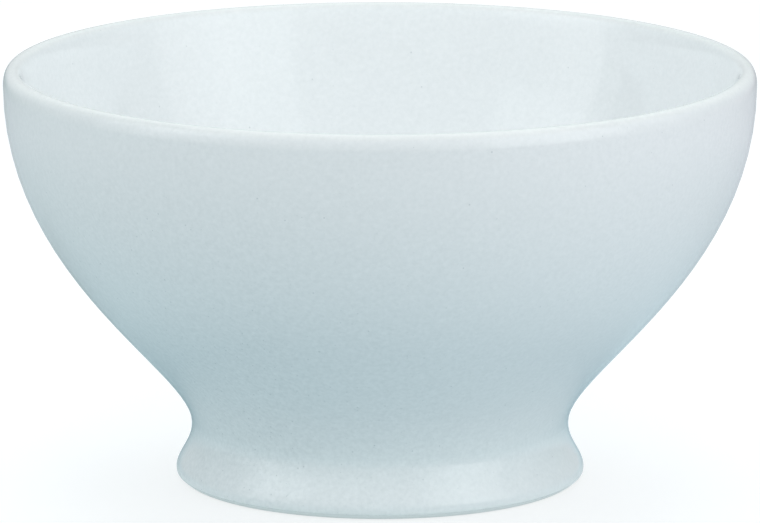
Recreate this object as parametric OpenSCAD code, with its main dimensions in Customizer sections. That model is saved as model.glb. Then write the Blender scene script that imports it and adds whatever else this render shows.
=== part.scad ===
// Footed latte bowl in white glazed porcelain.
// The bowl and its hollow pedestal foot are formed apart, stuck together with slip,
// fired, and coated with one clear glaze that leaves only the standing ring bare.
// Z is up, the table is at zero height, and the bowl's axis is the Z axis.
// Sizes over the glaze are those of the finished bowl.

/* [Bowl] */
// Diameter across the rim, over the glaze
rim_d = 140; // [126:1:154]
// Height of the rim above the table, over the glaze
rim_z = 78; // [72:0.5:86]
// Width of the lip from its top to its outer edge, over the glaze
lip_out_w = 2; // [1.6:0.1:2.4]
// Height over which the lip's outside rounds down to the side
lip_out_h = 3.2; // [2.4:0.1:4.2]
// Width of the lip from its top to the inside wall under it, over the glaze
lip_in_w = 2; // [1.6:0.1:2.4]
// Height over which the lip's inside rounds down to the inside wall
lip_in_h = 4.6; // [3.6:0.2:6]
// Angle at which the inside wall leans outwards just under the lip
lip_lean = 8; // [5:0.5:11]
// Thickness of the side where the floor starts, over the glaze
side_t = 4.8; // [4:0.1:5.6]
// Thickness of the floor at the centre, over the glaze
floor_t = 5.4; // [4.4:0.1:7]
// Pull straight down from the lip on the side's curve
side_drop = 35.8; // [32:0.2:40]
// Pull straight up from the neck on the side's curve
side_rise = 10.8; // [8:0.2:13]
// Length over which the inside turns from the side to the floor
floor_turn = 14; // [10:0.5:17]
// Radius over which the floor runs nearly level
floor_level = 22; // [16:0.5:27]

/* [Neck and foot] */
// Diameter of the neck between bowl and foot, over the glaze
neck_d = 70.4; // [66:0.2:74]
// Height of the middle of the neck above the table
neck_z = 10.5; // [9.5:0.1:13]
// Greatest diameter of the foot, over the glaze
foot_d = 76.2; // [74.6:0.2:84]
// Pull straight down from the neck on the foot's curve
foot_drop = 3.7; // [2.4:0.1:5]
// Pull straight up from the foot's bottom edge on the foot's curve
foot_rise = 2; // [1:0.1:3]
// Radius of the foot's rounded bottom edge, in bare clay
edge_r = 2.2; // [1.8:0.1:3]
// Width of the flat ring that the bowl stands on
ring_w = 3.2; // [2:0.1:4.4]
// Radius of the standing ring's inner edge
ring_edge_r = 1.2; // [0.6:0.1:1.8]
// Thickness of the foot's wall at the neck, over the outer glaze
neck_t = 5.6; // [4.6:0.1:6.6]

/* [Slip joint] */
// Thickness of the slip between bowl and foot
slip_t = 0.4; // [0.2:0.05:0.8]
// Radius of the sponged slip fillet inside the foot
slip_fillet_r = 1.6; // [1:0.1:2.2]
// Spacing of the scored rings that key the slip
score_pitch = 1.3; // [1:0.1:2]
// Width of one scored ring
score_w = 0.6; // [0.3:0.05:0.8]
// Depth of one scored ring
score_depth = 0.3; // [0.1:0.05:0.5]

/* [Glaze] */
// Thickness of the fired glaze
glaze_t = 0.3; // [0.15:0.01:0.4]
// Height above the table to which the glaze is sponged off the foot
wipe_z = 1; // [0.6:0.05:1.4]

/* [Hidden] */
$fn = 144;

// Share of the side's curve, from the lip, where the inside leaves it for the floor
floor_start_share = 0.6;
// Shares of the width and the height of each half of the lip that its pulls take
lip_top_share = 0.55;
lip_side_share = 0.72;
// Shares of the side's pulls that the inside wall takes under the lip and at the floor
inside_drop_share = 0.65;
inside_rise_share = 0.49;
// Share of the height of the foot's inner wall that each pull on its curve takes
well_pull_share = 0.33;

// Straight pieces that stand for each curve
lip_steps = 10;
inside_steps = 24;
side_steps = 40;
floor_steps = 20;
foot_steps = 16;
glazed_edge_steps = 4;
bare_edge_steps = 6;
fillet_steps = 8;

rim_r = rim_d / 2;
lip_top_r = rim_r - lip_out_w;
neck_r = neck_d / 2;
foot_r = foot_d / 2;

// The slip lies between these two heights, and the neck is straight there
bowl_seat_z = neck_z + slip_t / 2;
foot_top_z = neck_z - slip_t / 2;

// Middle and end of the foot's rounded bottom edge, and the angle where its glaze stops
edge_mid_r = foot_r - glaze_t - edge_r;
wipe_angle = -asin((edge_r - wipe_z) / edge_r);

// Inside of the hollow foot
ring_inner_r = edge_mid_r - ring_w;
well_low_r = ring_inner_r - ring_edge_r;
well_top_r = neck_r - neck_t;
well_fillet_z = bowl_seat_z - slip_fillet_r;
well_pull = well_pull_share * (well_fillet_z - ring_edge_r);

floor_z = bowl_seat_z - glaze_t + floor_t;

// Scored rings, centred on the face that the slip sticks to
seat_w = neck_r - glaze_t - well_top_r;
seat_mid_r = well_top_r + seat_w / 2;
score_n = max(0, floor(seat_w / score_pitch) - 1);

clay_colour = "#F3F2EC";
slip_colour = "#E2E0D8";
glaze_colour = "#DDE9EE";

// Point and heading at share t of a cubic curve with end points and pulls p
function curve_point(p, t) =
    pow(1 - t, 3) * p[0] + 3 * t * pow(1 - t, 2) * p[1] + 3 * t * t * (1 - t) * p[2] + pow(t, 3) * p[3];
function curve_slope(p, t) =
    pow(1 - t, 2) * (p[1] - p[0]) + 2 * t * (1 - t) * (p[2] - p[1]) + t * t * (p[3] - p[2]);
function curve_heading(p, t) = curve_slope(p, t) / norm(curve_slope(p, t));

// The heading turned a quarter to the right
function right_of(v) = [v.y, -v.x];

function reversed(points) = [for (i = [len(points) - 1:-1:0]) points[i]];
function after_first(points) = [for (i = [1:len(points) - 1]) points[i]];
function before_last(points) = [for (i = [0:len(points) - 2]) points[i]];

function arc(mid, radius, start, end, steps) =
    [for (i = [0:steps]) let (a = start + (end - start) * i / steps) mid + radius * [cos(a), sin(a)]];

// A cubic curve moved to its right by depth
function curve(p, depth, steps) =
    [for (i = [0:steps]) let (t = i / steps) curve_point(p, t) + depth * right_of(curve_heading(p, t))];

// Outside of the bowl from lip to neck, over the glaze
side = [
    [rim_r, rim_z - lip_out_h],
    [rim_r, rim_z - lip_out_h - side_drop],
    [neck_r, bowl_seat_z + side_rise],
    [neck_r, bowl_seat_z]
];

// Outside of the lip from its top to the side, over the glaze
lip_out = [
    [lip_top_r, rim_z],
    [lip_top_r + lip_top_share * lip_out_w, rim_z],
    [rim_r, rim_z - lip_out_h + lip_side_share * lip_out_h],
    [rim_r, rim_z - lip_out_h]
];

// Outside of the foot from neck to widest point, over the glaze
foot = [
    [neck_r, foot_top_z],
    [neck_r, foot_top_z - foot_drop],
    [foot_r, edge_r + foot_rise],
    [foot_r, edge_r]
];

// Wall of the hollow foot from the standing ring's inner edge up to the slip fillet
well = [
    [well_low_r, ring_edge_r],
    [well_low_r, ring_edge_r + well_pull],
    [well_top_r, well_fillet_z - well_pull],
    [well_top_r, well_fillet_z]
];

// Inside of the lip from the wall under it up to its top, over the glaze
lip_low = [lip_top_r - lip_in_w, rim_z - lip_in_h];
lip_low_heading = -[sin(lip_lean), cos(lip_lean)];
lip_in = [
    lip_low,
    lip_low - lip_side_share * lip_in_h * lip_low_heading,
    [lip_top_r - lip_top_share * lip_in_w, rim_z],
    [lip_top_r, rim_z]
];

// The floor starts at the full thickness of the side
side_slope = curve_slope(side, floor_start_share);
side_heading = curve_heading(side, floor_start_share);
floor_start = curve_point(side, floor_start_share) + side_t * right_of(side_heading);

// Inside wall from the lip down to the floor, over the glaze
inside = [
    lip_low,
    lip_low + inside_drop_share * side_drop * lip_low_heading,
    floor_start - inside_rise_share * side_slope,
    floor_start
];

// Inside of the bowl from the side to the centre, over the glaze
floor_curve = [
    floor_start,
    floor_start + floor_turn * side_heading,
    [floor_level, floor_z],
    [0, floor_z]
];

// Each outline lies at a depth below the glazed surface, and runs from the centre of
// the floor up the inside, over the lip and down the outside
function floor_points(depth) = reversed(curve(floor_curve, -depth, floor_steps));

function inside_points(depth) =
    before_last(after_first(reversed(curve(inside, -depth, inside_steps))));

function lip_points(depth) =
    concat(curve(lip_in, depth, lip_steps), after_first(curve(lip_out, depth, lip_steps)));

function side_points(depth) = after_first(curve(side, depth, side_steps));

function bowl_points(depth) =
    concat(floor_points(depth), inside_points(depth), lip_points(depth), side_points(depth));

function foot_points(depth) =
    concat(
        curve(foot, depth, foot_steps),
        after_first(arc([edge_mid_r, edge_r], edge_r + glaze_t - depth, 0, wipe_angle, glazed_edge_steps))
    );

// Underside of the hollow foot, from the standing ring's inner edge to the centre,
// at a depth of glaze over the clay
function well_wall_points(depth) = curve(well, -depth, foot_steps);

function well_fillet_points(depth) =
    arc([well_top_r - slip_fillet_r, well_fillet_z], slip_fillet_r - depth, 0, 90, fillet_steps);

function well_points(depth) =
    concat(
        well_wall_points(depth),
        after_first(well_fillet_points(depth)),
        [[0, bowl_seat_z - depth]]
    );

// Scored rings in a level face, from the outermost inwards, cut up or down by depth
function score_points(z, depth) =
    [for (i = [score_n - 1:-1:0])
        let (r = seat_mid_r + (i - (score_n - 1) / 2) * score_pitch)
        each [[r + score_w / 2, z], [r, z + depth], [r - score_w / 2, z]]];

// Bowl with rounded lip, turned flat and scored underneath where the foot is stuck on
module bowl_body() {
    color(clay_colour)
        rotate_extrude()
            polygon(concat(
                bowl_points(glaze_t),
                score_points(bowl_seat_z, score_depth),
                [[0, bowl_seat_z]]
            ));
}

// Hollow foot, flared to a rounded edge with a flat ring to stand on
module pedestal_foot() {
    color(clay_colour)
        rotate_extrude()
            polygon(concat(
                foot_points(glaze_t),
                after_first(arc([edge_mid_r, edge_r], edge_r, wipe_angle, -90, bare_edge_steps)),
                arc([ring_inner_r, ring_edge_r], ring_edge_r, -90, -180, bare_edge_steps),
                after_first(well_wall_points(0)),
                [[well_top_r, foot_top_z]],
                reversed(score_points(foot_top_z, -score_depth))
            ));
}

// Slip that fills the scored rings of both faces, with its fillet inside the foot
module luting_slip() {
    color(slip_colour)
        rotate_extrude()
            polygon(concat(
                [[neck_r - glaze_t, bowl_seat_z]],
                score_points(bowl_seat_z, score_depth),
                reversed(well_fillet_points(0)),
                [[well_top_r, foot_top_z]],
                reversed(score_points(foot_top_z, -score_depth)),
                [[neck_r - glaze_t, foot_top_z]]
            ));
}

// Glaze over the inside, lip, outside and foot, down to the sponged edge
module glaze_coat() {
    color(glaze_colour)
        rotate_extrude()
            polygon(concat(
                before_last(concat(bowl_points(0), foot_points(0))),
                reversed(concat(bowl_points(glaze_t), foot_points(glaze_t)))
            ));
}

// Glaze inside the hollow foot, parted from the rest by the bare standing ring
module foot_well_glaze() {
    color(glaze_colour)
        rotate_extrude()
            polygon(concat(
                well_points(0),
                reversed(after_first(well_points(glaze_t)))
            ));
}

bowl_body();
pedestal_foot();
luting_slip();
glaze_coat();
foot_well_glaze();
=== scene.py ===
import math

import bmesh
import bpy
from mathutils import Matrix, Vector, noise


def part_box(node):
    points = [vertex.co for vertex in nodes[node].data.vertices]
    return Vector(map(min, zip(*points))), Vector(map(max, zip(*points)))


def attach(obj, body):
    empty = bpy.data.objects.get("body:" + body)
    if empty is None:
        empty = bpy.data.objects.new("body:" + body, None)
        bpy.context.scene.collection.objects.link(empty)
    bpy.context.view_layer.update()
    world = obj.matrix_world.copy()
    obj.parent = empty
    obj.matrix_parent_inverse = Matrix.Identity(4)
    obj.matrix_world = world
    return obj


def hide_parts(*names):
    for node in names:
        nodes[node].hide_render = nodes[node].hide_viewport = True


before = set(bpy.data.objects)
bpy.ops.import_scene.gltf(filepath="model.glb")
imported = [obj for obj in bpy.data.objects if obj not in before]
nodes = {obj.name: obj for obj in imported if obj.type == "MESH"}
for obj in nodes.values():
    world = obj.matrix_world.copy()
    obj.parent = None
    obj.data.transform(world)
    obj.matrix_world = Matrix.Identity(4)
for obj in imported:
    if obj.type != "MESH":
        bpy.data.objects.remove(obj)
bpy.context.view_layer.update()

# Bowl body
# The cup-shaped piece of hard porcelain, roller-formed in a plaster mould and fired.
# Glaze covers all of it, so its biscuit shows only where the glaze would chip.

MM = 0.001


def linear(code):
    """A colour written as sRGB hex, as the linear colour that a shader takes."""
    parts = [int(code[i : i + 2], 16) / 255 for i in (1, 3, 5)]
    return [p / 12.92 if p <= 0.04045 else ((p + 0.055) / 1.055) ** 2.4 for p in parts] + [1.0]


def add(tree, kind, settings=None, inputs=None):
    """A shader node with its settings; each input gets a value or a link from another node's output."""
    node = tree.nodes.new(kind)
    for name, value in (settings or {}).items():
        setattr(node, name, value)
    for name, value in (inputs or {}).items():
        if isinstance(value, bpy.types.NodeSocket):
            tree.links.new(value, node.inputs[name])
        else:
            node.inputs[name].default_value = value
    return node


def new_material(name):
    """An empty node material and its tree."""
    material = bpy.data.materials.new(name)
    material.use_nodes = True
    material.node_tree.nodes.clear()
    return material, material.node_tree


def wear(piece, material):
    """Gives the whole piece that one material."""
    piece.data.materials.clear()
    piece.data.materials.append(material)


# Biscuit porcelain, fired unglazed and left matte, with a grain as fine as sieved flour.
# The grain is really about 0.05 mm, and is drawn three times as coarse so that it shows.
BISCUIT_GRAIN = 0.15 * MM
BISCUIT_CLOUD = 9.0 * MM
BISCUIT_DEPTH = 0.02 * MM
PORCELAIN_IOR = 1.5
biscuit, tree = new_material("biscuit_porcelain_fired")
place = add(tree, "ShaderNodeTexCoord").outputs["Object"]
grain = add(
    tree,
    "ShaderNodeTexNoise",
    inputs={"Vector": place, "Scale": 1 / BISCUIT_GRAIN, "Detail": 3.0, "Roughness": 0.6},
)
cloud = add(
    tree,
    "ShaderNodeTexNoise",
    inputs={"Vector": place, "Scale": 1 / BISCUIT_CLOUD, "Detail": 2.0},
)
pale = add(
    tree,
    "ShaderNodeMix",
    {"data_type": "RGBA"},
    {0: cloud.outputs["Fac"], 6: linear("#E9E5DB"), 7: linear("#F2EFE8")},
)
relief = add(
    tree,
    "ShaderNodeBump",
    inputs={"Height": grain.outputs["Fac"], "Strength": 0.35, "Distance": BISCUIT_DEPTH},
)
surface = add(
    tree,
    "ShaderNodeBsdfPrincipled",
    inputs={
        "Base Color": pale.outputs[2],
        "Normal": relief.outputs["Normal"],
        "Roughness": 0.72,
        "IOR": PORCELAIN_IOR,
    },
)
add(tree, "ShaderNodeOutputMaterial", inputs={"Surface": surface.outputs["BSDF"]})
wear(nodes["bowl_body"], biscuit)

# Pedestal foot
# The hollow foot, formed apart of the same porcelain. Its flat ring is left bare to stand in
# the kiln, and is rubbed on a fine stone after firing, which leaves it smooth and a bit grey.

GROUND_HEIGHT = 0.35 * MM
GRIT_SIZE = 0.25 * MM
GRIT_DEPTH = 0.02 * MM
BARE_ROUGHNESS = 0.74
RUBBED_ROUGHNESS = 0.46
ground, tree = new_material("bare_porcelain_ring_ground")
place = add(tree, "ShaderNodeTexCoord").outputs["Object"]
height = add(tree, "ShaderNodeSeparateXYZ", inputs={"Vector": place}).outputs["Z"]
rubbed = add(
    tree,
    "ShaderNodeMapRange",
    {"interpolation_type": "SMOOTHSTEP"},
    {"Value": height, "From Min": GROUND_HEIGHT, "From Max": GROUND_HEIGHT / 4},
)
grit = add(
    tree,
    "ShaderNodeTexNoise",
    inputs={"Vector": place, "Scale": 1 / GRIT_SIZE, "Detail": 4.0, "Roughness": 0.65},
)
dirt = add(
    tree,
    "ShaderNodeMath",
    {"operation": "MULTIPLY"},
    {0: rubbed.outputs["Result"], 1: grit.outputs["Fac"]},
)
tone = add(
    tree,
    "ShaderNodeMix",
    {"data_type": "RGBA"},
    {0: dirt.outputs[0], 6: linear("#E9ECEB"), 7: linear("#CCD2D3")},
)
sheen = add(
    tree,
    "ShaderNodeMapRange",
    inputs={"Value": rubbed.outputs["Result"], "To Min": BARE_ROUGHNESS, "To Max": RUBBED_ROUGHNESS},
)
relief = add(
    tree,
    "ShaderNodeBump",
    inputs={"Height": grit.outputs["Fac"], "Strength": 0.4, "Distance": GRIT_DEPTH},
)
surface = add(
    tree,
    "ShaderNodeBsdfPrincipled",
    inputs={
        "Base Color": tone.outputs[2],
        "Roughness": sheen.outputs["Result"],
        "Normal": relief.outputs["Normal"],
        "IOR": PORCELAIN_IOR,
    },
)
add(tree, "ShaderNodeOutputMaterial", inputs={"Surface": surface.outputs["BSDF"]})
wear(nodes["pedestal_foot"], ground)

# Luting slip
# Porcelain let down with water to a cream, brushed into the scored rings of bowl and foot,
# squeezed out in a fillet inside the foot and sponged round. It fires a little yellower.

# Fired slip is matte. Its brush strokes run round the neck, so the pattern is four times as
# fine up the neck as round it.
BRUSH_SIZE = 0.5 * MM
BRUSH_DEPTH = 0.04 * MM
STROKE_SCALE = (1.0, 1.0, 4.0)
slip_fired, tree = new_material("luting_slip_brushed_and_fired")
place = add(tree, "ShaderNodeTexCoord").outputs["Object"]
drag = add(tree, "ShaderNodeMapping", inputs={"Vector": place, "Scale": STROKE_SCALE})
strokes = add(
    tree,
    "ShaderNodeTexNoise",
    inputs={
        "Vector": drag.outputs["Vector"],
        "Scale": 1 / BRUSH_SIZE,
        "Detail": 3.0,
        "Roughness": 0.55,
    },
)
tone = add(
    tree,
    "ShaderNodeMix",
    {"data_type": "RGBA"},
    {0: strokes.outputs["Fac"], 6: linear("#DCD8CB"), 7: linear("#E9E6DC")},
)
relief = add(
    tree,
    "ShaderNodeBump",
    inputs={"Height": strokes.outputs["Fac"], "Strength": 0.5, "Distance": BRUSH_DEPTH},
)
surface = add(
    tree,
    "ShaderNodeBsdfPrincipled",
    inputs={
        "Base Color": tone.outputs[2],
        "Normal": relief.outputs["Normal"],
        "Roughness": 0.8,
        "IOR": PORCELAIN_IOR,
    },
)
add(tree, "ShaderNodeOutputMaterial", inputs={"Surface": surface.outputs["BSDF"]})
wear(nodes["luting_slip"], slip_fired)

# Glaze coat
# One clear glaze, dipped on, over the inside, lip, outside and foot. It runs to a skin
# about 0.3 mm thick, a little uneven as dipped glaze is, and is sponged off above the table.

GLAZE = 0.3 * MM
LIP_WIDTH = 2.0 * MM
LIP_HEIGHT = 3.2 * MM
LIP_INSIDE_HEIGHT = 4.6 * MM
LIP_LEAN = math.radians(8)
LIP_TOP_SHARE = 0.55
LIP_SIDE_SHARE = 0.72
SIDE_DROP = 35.8 * MM
SIDE_RISE = 10.8 * MM
SIDE_WALL = 4.8 * MM
INSIDE_DROP_SHARE = 0.65
INSIDE_RISE_SHARE = 0.49
FLOOR_START_SHARE = 0.6
FLOOR_TURN = 14.0 * MM
FLOOR_LEVEL = 22.0 * MM
FLOOR_WALL = 5.4 * MM
FOOT_DROP = 3.7 * MM
FOOT_RISE = 2.0 * MM
EDGE_R = 2.5 * MM
WIPE_Z = 1.0 * MM
EDGE_THINS = 0.7 * MM
EDGE_SKIN = 0.05 * MM
GLAZE_RIPPLE = 0.05 * MM
GLAZE_RIPPLE_SIZE = 24.0 * MM
STEPS_PER_CURVE = 24
STEPS_ROUND = 192
MERGE_REACH = 0.01 * MM

out, up = Vector((1, 0, 0)), Vector((0, 0, 1))
rim_r, rim_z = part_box("glaze_coat")[1].x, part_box("glaze_coat")[1].z
neck_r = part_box("luting_slip")[1].x + GLAZE
neck_high, neck_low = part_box("bowl_body")[0].z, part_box("pedestal_foot")[1].z
foot_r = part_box("pedestal_foot")[1].x + GLAZE
foot_z = EDGE_R - GLAZE


def along(p, share):
    """The place at that share of the cubic with end points and pulls p, and a third of its pace there."""
    a, b, c = (p[i].lerp(p[i + 1], share) for i in range(3))
    return a.lerp(b, share).lerp(b.lerp(c, share), share), b.lerp(c, share) - a.lerp(b, share)


def template(knots, per_side):
    """A wire mesh through the knots, each of them a point with its pull before and its pull after."""
    curve = bpy.data.curves.new("template", "CURVE")
    curve.dimensions = "3D"
    curve.resolution_u = per_side
    spline = curve.splines.new("BEZIER")
    spline.bezier_points.add(len(knots) - 1)
    for point, (place, before, after) in zip(spline.bezier_points, knots):
        point.handle_left_type = point.handle_right_type = "FREE"
        point.co, point.handle_left, point.handle_right = place, place + before, place + after
    holder = bpy.data.objects.new("template", curve)
    wire = bpy.data.meshes.new_from_object(holder)
    bpy.data.objects.remove(holder)
    return wire


def turned(wire, around):
    """The wire turned once round the bowl's axis, as a bmesh with its poles closed."""
    bm = bmesh.new()
    bm.from_mesh(wire)
    bmesh.ops.spin(
        bm,
        geom=bm.verts[:] + bm.edges[:],
        cent=(0, 0, 0),
        axis=(0, 0, 1),
        angle=math.tau,
        steps=around,
        use_merge=True,
    )
    bmesh.ops.remove_doubles(bm, verts=bm.verts, dist=MERGE_REACH)
    bmesh.ops.recalc_face_normals(bm, faces=bm.faces)
    return bm


def finished(bm, name):
    """The bmesh as a smooth-shaded object of that name."""
    mesh = bpy.data.meshes.new(name)
    bm.to_mesh(mesh)
    bm.free()
    mesh.shade_smooth()
    piece = bpy.data.objects.new(name, mesh)
    bpy.context.scene.collection.objects.link(piece)
    return piece


# The inside wall leans out a little just under the lip, and the floor starts where the wall
# behind that share of the side's curve has its full thickness.
side = [
    out * rim_r + up * (rim_z - LIP_HEIGHT),
    out * rim_r + up * (rim_z - LIP_HEIGHT - SIDE_DROP),
    out * neck_r + up * (neck_high + SIDE_RISE),
    out * neck_r + up * neck_high,
]
side_low, side_pace = along(side, FLOOR_START_SHARE)
floor_way = side_pace.normalized()
floor_start = side_low + SIDE_WALL * Vector((floor_way.z, 0, -floor_way.x))
lip_top = out * (rim_r - LIP_WIDTH) + up * rim_z
lip_low = lip_top - out * LIP_WIDTH - up * LIP_INSIDE_HEIGHT
lean = Vector((math.sin(LIP_LEAN), 0, math.cos(LIP_LEAN)))

wipe_turn = math.asin((foot_z - WIPE_Z) / foot_z)
wipe_pull = EDGE_R * 4 / 3 * math.tan(wipe_turn / 4)
wipe_way = Vector((math.sin(wipe_turn), 0, math.cos(wipe_turn)))
edge_mid = out * (foot_r - EDGE_R) + up * foot_z
wipe_point = edge_mid + EDGE_R * Vector((math.cos(wipe_turn), 0, -math.sin(wipe_turn)))
knots = [
    (up * (neck_high - GLAZE + FLOOR_WALL), Vector(), out * FLOOR_LEVEL),
    (floor_start, floor_way * FLOOR_TURN, -side_pace * INSIDE_RISE_SHARE),
    (lip_low, -lean * INSIDE_DROP_SHARE * SIDE_DROP, lean * LIP_SIDE_SHARE * LIP_INSIDE_HEIGHT),
    (lip_top, -out * LIP_TOP_SHARE * LIP_WIDTH, out * LIP_TOP_SHARE * LIP_WIDTH),
    (side[0], up * LIP_SIDE_SHARE * LIP_HEIGHT, -up * SIDE_DROP),
    (side[3], up * SIDE_RISE, Vector()),
    (out * neck_r + up * neck_low, Vector(), -up * FOOT_DROP),
    (out * foot_r + up * foot_z, up * FOOT_RISE, -up * wipe_pull),
    (wipe_point, wipe_way * wipe_pull, Vector()),
]

# The skin's outside sinks a few hundredths here and there, and thins out at the sponged edge.
bm = turned(template(knots, STEPS_PER_CURVE), STEPS_ROUND)
inner = bmesh.ops.duplicate(bm, geom=bm.verts[:] + bm.edges[:] + bm.faces[:])
clay_side = {v for v in inner["geom"] if isinstance(v, bmesh.types.BMVert)}
bm.normal_update()
places = {}
for v in bm.verts:
    if v in clay_side:
        places[v] = v.co - v.normal * GLAZE
    else:
        sunk = GLAZE_RIPPLE * (0.5 + 0.5 * noise.noise(v.co / GLAZE_RIPPLE_SIZE))
        edge = 1 - (v.co.z - wipe_point.z) / EDGE_THINS
        places[v] = v.co - v.normal * (sunk + max(0, edge) ** 2 * (GLAZE - GLAZE_RIPPLE - EDGE_SKIN))
for v, target in places.items():
    v.co = target
bmesh.ops.reverse_faces(bm, faces=[f for f in inner["geom"] if isinstance(f, bmesh.types.BMFace)])
bmesh.ops.bridge_loops(bm, edges=[e for e in bm.edges if e.is_boundary])
bmesh.ops.recalc_face_normals(bm, faces=bm.faces)
glaze = finished(bm, "glaze_skin")

# Porcelain seen through the clear glaze: a cool white with a fine mottle. Iron specks up to
# 0.5 mm wide lie in it among finer dust, most of them, and the coarsest mottle, low on the front left.
# The glaze pools a little bluer in the neck and runs thin, so a trace warmer, over the lip.
SPECK_SPACING = 1.0 * MM
SPECK_WIDTH = 0.5 * MM
DUST_SPACING = 0.55 * MM
DUST_WIDTH = 0.3 * MM
MOTTLE_SIZE = 0.8 * MM
CLOUD_SIZE = 18.0 * MM
CROWDED_AT = Vector((-24.0, -32.0, 26.0)) * MM
CROWDED_REACH = 60.0 * MM
CROWDED_MOST = 0.85
CROWDED_LEAST = 0.05
CLOUD_SHARE = 0.5
CROWDING = 2.6
MOTTLE_FROM = 0.3
MOTTLE_CLEAN = 1.1
MOTTLE_CROWDED = 2.3
SPECK_STRENGTH = 0.42
DUST_STRENGTH = 0.27
SPOT_CORE = 0.2
PEEL_SIZE = 2.6 * MM
PEEL_DEPTH = 0.0016 * MM
PIT_DEPTH = 0.008 * MM
GLAZE_ROUGHNESS = 0.06
GLAZE_IOR = 1.52


def spots(tree, place, spacing, width, share):
    """A mask of soft round spots up to that width, in that share of the cells of that spacing."""
    cells = add(tree, "ShaderNodeTexVoronoi", inputs={"Vector": place, "Scale": 1 / spacing})
    chance = add(tree, "ShaderNodeSeparateColor", inputs={"Color": cells.outputs["Color"]})
    cut = add(tree, "ShaderNodeMath", {"operation": "SUBTRACT", "use_clamp": True}, {0: 1.0, 1: share})
    reach = add(
        tree,
        "ShaderNodeMapRange",
        inputs={
            "Value": chance.outputs["Red"],
            "From Min": cut.outputs[0],
            "From Max": 1.0,
            "To Min": 0.0,
            "To Max": width / 2 / spacing,
        },
    )
    core = add(
        tree,
        "ShaderNodeMath",
        {"operation": "MULTIPLY"},
        {0: reach.outputs["Result"], 1: SPOT_CORE},
    )
    return add(
        tree,
        "ShaderNodeMapRange",
        {"interpolation_type": "SMOOTHSTEP"},
        {
            "Value": cells.outputs["Distance"],
            "From Min": reach.outputs["Result"],
            "From Max": core.outputs[0],
        },
    ).outputs["Result"]


porcelain, tree = new_material("porcelain_under_clear_glaze")
place = add(tree, "ShaderNodeTexCoord").outputs["Object"]
axes = add(tree, "ShaderNodeSeparateXYZ", inputs={"Vector": place})
cloud = add(tree, "ShaderNodeTexNoise", inputs={"Vector": place, "Scale": 1 / CLOUD_SIZE, "Detail": 2.0})
away = add(tree, "ShaderNodeVectorMath", {"operation": "DISTANCE"}, {0: place, 1: CROWDED_AT})
near = add(
    tree,
    "ShaderNodeMapRange",
    inputs={
        "Value": away.outputs["Value"],
        "From Min": 0.0,
        "From Max": CROWDED_REACH,
        "To Min": CROWDED_MOST,
        "To Max": CROWDED_LEAST,
    },
)
crowded_share = add(
    tree,
    "ShaderNodeMath",
    {"operation": "MULTIPLY_ADD"},
    {0: cloud.outputs["Fac"], 1: CLOUD_SHARE, 2: near.outputs[0]},
)
crowd = add(tree, "ShaderNodeMath", {"operation": "POWER"}, {0: crowded_share.outputs[0], 1: CROWDING})
mottle = add(
    tree,
    "ShaderNodeTexNoise",
    inputs={"Vector": place, "Scale": 1 / MOTTLE_SIZE, "Detail": 3.0, "Roughness": 0.6},
)
spread = add(
    tree,
    "ShaderNodeMapRange",
    inputs={
        "Value": crowded_share.outputs[0],
        "From Min": MOTTLE_FROM,
        "From Max": 1.0,
        "To Min": MOTTLE_CLEAN,
        "To Max": MOTTLE_CROWDED,
    },
)
grade = add(tree, "ShaderNodeMath", {"operation": "SUBTRACT"}, {0: mottle.outputs["Fac"], 1: 0.5})
grade = add(
    tree,
    "ShaderNodeMath",
    {"operation": "MULTIPLY_ADD"},
    {0: grade.outputs[0], 1: spread.outputs["Result"], 2: 0.5},
)
body = add(
    tree,
    "ShaderNodeMix",
    {"data_type": "RGBA"},
    {0: grade.outputs[0], 6: linear("#F0F2F2"), 7: linear("#FEFFFF")},
)
share_of_height = add(tree, "ShaderNodeMath", {"operation": "DIVIDE"}, {0: axes.outputs["Z"], 1: rim_z})
depth_tint = add(tree, "ShaderNodeValToRGB", inputs={"Fac": share_of_height.outputs[0]})
stops = depth_tint.color_ramp.elements
stops[0].position, stops[0].color = 0.06, linear("#FEFFFF")
stops[1].position, stops[1].color = 1.0, linear("#FFFEFB")
for position, code in ((neck_high / rim_z, "#FAFDFD"), (0.22, "#FFFFFF"), (0.985, "#FFFFFF")):
    stops.new(position).color = linear(code)
tinted = add(
    tree,
    "ShaderNodeMix",
    {"data_type": "RGBA", "blend_type": "MULTIPLY"},
    {0: 1.0, 6: body.outputs[2], 7: depth_tint.outputs["Color"]},
)
specks = spots(tree, place, SPECK_SPACING, SPECK_WIDTH, crowd.outputs[0])
dust = spots(tree, place, DUST_SPACING, DUST_WIDTH, crowd.outputs[0])
speck_weight = add(tree, "ShaderNodeMath", {"operation": "MULTIPLY"}, {0: specks, 1: SPECK_STRENGTH})
dust_weight = add(tree, "ShaderNodeMath", {"operation": "MULTIPLY"}, {0: dust, 1: DUST_STRENGTH})
dusted = add(
    tree,
    "ShaderNodeMix",
    {"data_type": "RGBA"},
    {0: dust_weight.outputs[0], 6: tinted.outputs[2], 7: linear("#B9C1C3")},
)
speckled = add(
    tree,
    "ShaderNodeMix",
    {"data_type": "RGBA"},
    {0: speck_weight.outputs[0], 6: dusted.outputs[2], 7: linear("#ABB4B7")},
)
peel = add(tree, "ShaderNodeTexNoise", inputs={"Vector": place, "Scale": 1 / PEEL_SIZE, "Detail": 1.0})
rippled = add(
    tree,
    "ShaderNodeBump",
    inputs={"Height": peel.outputs["Fac"], "Strength": 1.0, "Distance": PEEL_DEPTH},
)
pitted = add(
    tree,
    "ShaderNodeBump",
    {"invert": True},
    {"Height": specks, "Strength": 0.6, "Distance": PIT_DEPTH, "Normal": rippled.outputs["Normal"]},
)
surface = add(
    tree,
    "ShaderNodeBsdfPrincipled",
    inputs={
        "Base Color": speckled.outputs[2],
        "Normal": pitted.outputs["Normal"],
        "Roughness": GLAZE_ROUGHNESS,
        "IOR": GLAZE_IOR,
    },
)
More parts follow.
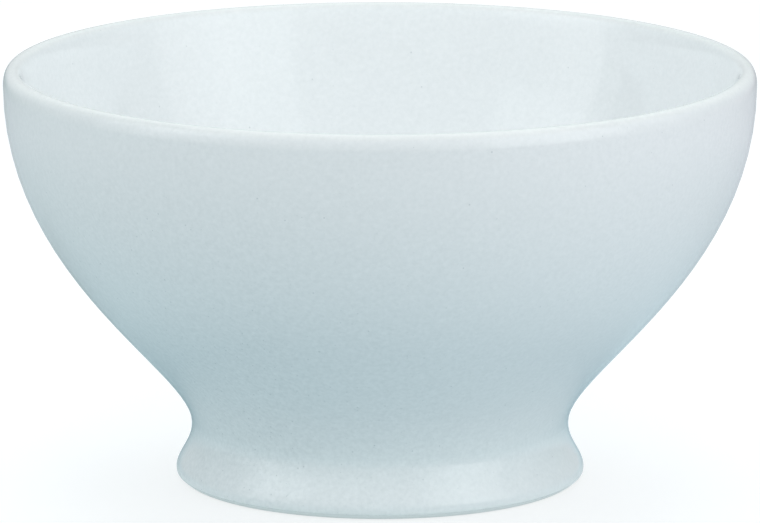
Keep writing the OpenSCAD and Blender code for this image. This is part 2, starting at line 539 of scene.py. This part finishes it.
add(tree, "ShaderNodeOutputMaterial", inputs={"Surface": surface.outputs["BSDF"]})
wear(glaze, porcelain)
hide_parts("glaze_coat")
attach(glaze, "root")

# Foot well glaze
# The same glaze inside the hollow foot, where it stops at the bare ring. The kiln's heat and
# the dip reach it alike, so it has the same specks and gloss.

wear(nodes["foot_well_glaze"], porcelain)

# Floor, light and camera
# A plain white table under a soft dome, with strip softboxes right and left of the camera.
# A grey card round the foot and a grey wall behind it show only in the glaze, as studios use
# them to draw the edge of a white pot. Their glows and the card's darker patch are painted reflection.

FLOOR_HALF = 6.0
PAPER_GLOW = 0.62
UNDER_REACH = 0.6


def seen_rays(tree):
    """A node that gives 1 for a ray from the camera, off gloss or through glass, and 0 for the rest."""
    path = add(tree, "ShaderNodeLightPath")
    direct = add(
        tree,
        "ShaderNodeMath",
        {"operation": "MAXIMUM"},
        {0: path.outputs["Is Camera Ray"], 1: path.outputs["Is Glossy Ray"]},
    )
    return add(
        tree,
        "ShaderNodeMath",
        {"operation": "MAXIMUM"},
        {0: direct.outputs[0], 1: path.outputs["Is Transmission Ray"]},
    )


def graded(tree, value, first, last, stops):
    """A ramp of colours, each a stop's place and its sRGB hex, along value from first to last."""
    share = add(tree, "ShaderNodeMapRange", inputs={"Value": value, "From Min": first, "From Max": last})
    ramp = add(tree, "ShaderNodeValToRGB", inputs={"Fac": share.outputs["Result"]})
    elements = ramp.color_ramp.elements
    elements[0].position, elements[0].color = stops[0][0], linear(stops[0][1])
    elements[1].position, elements[1].color = stops[-1][0], linear(stops[-1][1])
    for place, code in stops[1:-1]:
        elements.new(place).color = linear(code)
    return ramp.outputs["Color"]


def painted_glow_from_under(tree):
    """A painted glow for the table's light on the underside: graded out from the foot, and warmer on the
    right.
    """
    place = add(tree, "ShaderNodeTexCoord").outputs["Object"]
    reach = add(tree, "ShaderNodeVectorMath", {"operation": "LENGTH"}, {0: place}).outputs["Value"]
    outward = graded(
        tree,
        reach,
        0.0,
        UNDER_REACH,
        (
            (0.06, "#ADB6B7"),
            (0.09, "#3A6674"),
            (0.13, "#77929A"),
            (0.25, "#6F7D81"),
            (0.5, "#87878D"),
            (1.0, "#000000"),
        ),
    )
    across = add(tree, "ShaderNodeSeparateXYZ", inputs={"Vector": place}).outputs["X"]
    sideways = graded(
        tree,
        across,
        -UNDER_REACH,
        UNDER_REACH,
        ((0.0, "#545D55"), (0.5, "#000000"), (1.0, "#8F767F")),
    )
    colour = add(tree, "ShaderNodeVectorMath", {"operation": "ADD"}, {0: outward, 1: sideways}).outputs[0]
    return add(tree, "ShaderNodeEmission", inputs={"Color": colour, "Strength": 1.0})


bm = bmesh.new()
bmesh.ops.create_grid(bm, x_segments=1, y_segments=1, size=FLOOR_HALF)
floor = finished(bm, "floor")

# White paper. The camera sees it glow, with the bowl's shadow on it. The light that it
# throws up on the bowl is greyer, plus a painted glow graded out from the foot and warmer on the right.
paper, tree = new_material("white_paper_sweep")
seen = seen_rays(tree)
tone = add(
    tree,
    "ShaderNodeMix",
    {"data_type": "RGBA"},
    {0: seen.outputs[0], 6: linear("#949C9E"), 7: linear("#B0B0B0")},
)
matte = add(tree, "ShaderNodeBsdfDiffuse", inputs={"Color": tone.outputs[2]})
glow = add(tree, "ShaderNodeEmission", inputs={"Strength": PAPER_GLOW})
under = painted_glow_from_under(tree)
lift = add(
    tree,
    "ShaderNodeMixShader",
    inputs={0: seen.outputs[0], 1: under.outputs[0], 2: glow.outputs[0]},
)
both = add(tree, "ShaderNodeAddShader", inputs={0: matte.outputs[0], 1: lift.outputs[0]})
add(tree, "ShaderNodeOutputMaterial", inputs={"Surface": both.outputs[0]})
wear(floor, paper)

# Matte grey card, which also carries the painted glow graded out from the foot. A patch of it
# behind the foot on the left is painted darker, a painted shade that draws the dark edge there.
CARD_R = 2.4
CARD_Z = 0.2 * MM
SHADED_SPOT = Vector((-0.055, 0.08, 0.0))
SHADED_REACH = 0.1
SHADED_LIGHT = 0.8
CARD_STEPS = 96

bm = bmesh.new()
bmesh.ops.create_circle(bm, cap_ends=True, segments=CARD_STEPS, radius=CARD_R)
bmesh.ops.translate(bm, verts=bm.verts, vec=(0, 0, CARD_Z))
card = finished(bm, "grey_card")
card.visible_camera = card.visible_diffuse = card.visible_shadow = False
grey, tree = new_material("grey_card_matte")
matte = add(tree, "ShaderNodeBsdfDiffuse", inputs={"Color": linear("#949C9E")})
under = painted_glow_from_under(tree)
both = add(tree, "ShaderNodeAddShader", inputs={0: matte.outputs[0], 1: under.outputs[0]})
place = add(tree, "ShaderNodeTexCoord").outputs["Object"]
away = add(tree, "ShaderNodeVectorMath", {"operation": "DISTANCE"}, {0: place, 1: SHADED_SPOT})
clear = add(
    tree,
    "ShaderNodeMapRange",
    {"interpolation_type": "SMOOTHSTEP"},
    {
        "Value": away.outputs["Value"],
        "From Min": SHADED_REACH / 3,
        "From Max": SHADED_REACH,
        "To Min": SHADED_LIGHT,
        "To Max": 1.0,
    },
)
painted_shade = add(tree, "ShaderNodeEmission", inputs={"Strength": 0.0})
shaded = add(
    tree,
    "ShaderNodeMixShader",
    inputs={0: clear.outputs["Result"], 1: painted_shade.outputs[0], 2: both.outputs[0]},
)
add(tree, "ShaderNodeOutputMaterial", inputs={"Surface": shaded.outputs[0]})
wear(card, grey)

# Grey backdrop, half a ring and a little more behind the bowl. It is no lamp but glows, with a
# painted grade lighter straight behind it, and shows only as painted reflection in the glaze.
WALL_R = 2.4
WALL_TOP = 4.0
WALL_TURN = math.radians(-10)
WALL_STEPS = 48

bm = bmesh.new()
end_way = Vector((math.cos(WALL_TURN), math.sin(WALL_TURN), 0))
bm.edges.new([bm.verts.new(end_way * WALL_R + up * z) for z in (0, WALL_TOP)])
bmesh.ops.spin(
    bm,
    geom=bm.verts[:] + bm.edges[:],
    cent=(0, 0, 0),
    axis=(0, 0, 1),
    angle=math.pi - 2 * WALL_TURN,
    steps=WALL_STEPS,
)
wall = finished(bm, "grey_wall")
wall.visible_camera = wall.visible_diffuse = wall.visible_shadow = False
backdrop, tree = new_material("grey_backdrop")
place = add(tree, "ShaderNodeTexCoord").outputs["Object"]
behind = add(tree, "ShaderNodeSeparateXYZ", inputs={"Vector": place}).outputs["Y"]
colour = graded(
    tree,
    behind,
    0.0,
    WALL_R,
    ((0.0, "#828484"), (0.6, "#7A8483"), (0.85, "#B4BBBC"), (0.95, "#BBC0C3")),
)
painted_wall_glow = add(tree, "ShaderNodeEmission", inputs={"Color": colour, "Strength": 1.0})
add(tree, "ShaderNodeOutputMaterial", inputs={"Surface": painted_wall_glow.outputs[0]})
wear(wall, backdrop)

# The dome's light is graded by height, from front to back and from left to right. What
# sees the dome straight or in the glaze sees it white.
DOME_STRENGTH = 1.6

world = bpy.data.worlds.new("studio_dome")
bpy.context.scene.world = world
world.use_nodes = True
tree = world.node_tree
tree.nodes.clear()
way = add(tree, "ShaderNodeTexCoord").outputs["Generated"]
way = add(tree, "ShaderNodeSeparateXYZ", inputs={"Vector": way})
by_height = graded(
    tree,
    way.outputs["Z"],
    0.0,
    1.0,
    ((0.0, "#969695"), (0.25, "#000000"), (0.5, "#8E9194"), (0.75, "#000000"), (1.0, "#000000")),
)
by_depth = graded(
    tree,
    way.outputs["Y"],
    -1.0,
    1.0,
    ((0.0, "#000000"), (0.25, "#000000"), (0.5, "#6C7178"), (0.75, "#BFC8CA"), (1.0, "#000000")),
)
by_side = graded(
    tree,
    way.outputs["X"],
    -1.0,
    1.0,
    ((0.0, "#000000"), (0.25, "#000000"), (0.5, "#F2FBFE"), (0.75, "#000000"), (1.0, "#000000")),
)
two = add(tree, "ShaderNodeVectorMath", {"operation": "ADD"}, {0: by_height, 1: by_depth})
all_three = add(tree, "ShaderNodeVectorMath", {"operation": "ADD"}, {0: two.outputs[0], 1: by_side})
dome = add(
    tree,
    "ShaderNodeBackground",
    inputs={"Color": all_three.outputs[0], "Strength": DOME_STRENGTH},
)
white = add(tree, "ShaderNodeBackground", inputs={"Color": linear("#FFFFFF"), "Strength": 1.0})
both = add(
    tree,
    "ShaderNodeMixShader",
    inputs={0: seen_rays(tree).outputs[0], 1: dome.outputs[0], 2: white.outputs[0]},
)
add(tree, "ShaderNodeOutputWorld", inputs={"Surface": both.outputs[0]})

# Each softbox stands upright round the bowl, facing its axis. Azimuth 0 is the camera's side
# and 90 is to its right, and elevations are as seen from the foot.
STRIP_DISTANCE = 0.62
STRIP_FOOT = 2
STRIP_SPLIT = 25
RIGHT_TOP = 42
LEFT_TOP = 48


def strip(name, start, end, low, high, radiance, colour):
    """A softbox of that radiance between two azimuths and two elevations, all in degrees."""
    light = bpy.data.lights.new(name, "AREA")
    light.shape = "RECTANGLE"
    bottom, top = (STRIP_DISTANCE * math.tan(math.radians(e)) for e in (low, high))
    light.size = 2 * STRIP_DISTANCE * math.tan(math.radians(end - start) / 2)
    light.size_y = top - bottom
    light.energy = radiance * math.pi * light.size * light.size_y
    light.color = linear(colour)[:3]
    box = bpy.data.objects.new(name, light)
    middle = math.radians(start + end) / 2
    away = Vector((math.sin(middle), -math.cos(middle), 0))
    box.location = away * STRIP_DISTANCE + up * (bottom + top) / 2
    box.rotation_euler = away.to_track_quat("Z", "Y").to_euler()
    box.visible_camera = False
    bpy.context.scene.collection.objects.link(box)


strip("right_inner_low_strip", 15, 31, STRIP_FOOT, STRIP_SPLIT, 0.16, "#FFFFFD")
strip("right_inner_high_strip", 15, 31, STRIP_SPLIT, RIGHT_TOP, 0.21, "#FBFFFF")
strip("right_middle_low_strip", 31, 47, STRIP_FOOT, STRIP_SPLIT, 1.03, "#FBFFFF")
strip("right_middle_high_strip", 31, 47, STRIP_SPLIT, RIGHT_TOP, 0.86, "#FAFFFF")
strip("right_outer_low_strip", 47, 63, STRIP_FOOT, STRIP_SPLIT, 1.22, "#FCFFFF")
strip("right_outer_high_strip", 47, 63, STRIP_SPLIT, RIGHT_TOP, 1.10, "#FAFFFF")
strip("right_side_strip", 63, 76, STRIP_FOOT, RIGHT_TOP, 0.65, "#FEFFFE")
strip("right_far_strip", 76, 100, STRIP_FOOT, RIGHT_TOP, 0.40, "#FEFEFF")
strip("left_inner_high_strip", -46, -30, STRIP_SPLIT, LEFT_TOP, 0.17, "#FAFFFF")
strip("left_middle_low_strip", -62, -46, STRIP_FOOT, STRIP_SPLIT, 0.21, "#F5FCFF")
strip("left_middle_high_strip", -62, -46, STRIP_SPLIT, LEFT_TOP, 0.82, "#F9FFFE")
strip("left_outer_low_strip", -92, -62, STRIP_FOOT, STRIP_SPLIT, 0.54, "#FCFFFE")
strip("left_outer_high_strip", -92, -62, STRIP_SPLIT, LEFT_TOP, 1.03, "#FBFFFF")

# A long lens 1.8 m away and 11.5 degrees up. Its focal length is in pixels of a picture 760
# pixels wide, as fitted to the outline in the photo.
CAMERA_DISTANCE = 1.8
CAMERA_TILT = math.radians(11.541)
CAMERA_AIM = Vector((0, 0, 40.93)) * MM
FOCAL_PIXELS = 9658
PICTURE_PIXELS = 760

camera = bpy.data.cameras.new("camera")
camera.lens = camera.sensor_width * FOCAL_PIXELS / PICTURE_PIXELS
view = bpy.data.objects.new("camera", camera)
bpy.context.scene.collection.objects.link(view)
bpy.context.scene.camera = view
back = Vector((0, -math.cos(CAMERA_TILT), math.sin(CAMERA_TILT)))
view.location = CAMERA_AIM + back * CAMERA_DISTANCE
view.rotation_euler = back.to_track_quat("Z", "Y").to_euler()
camera.clip_start, camera.clip_end = 0.1, 50.0

bpy.context.scene.view_settings.view_transform = "Standard"
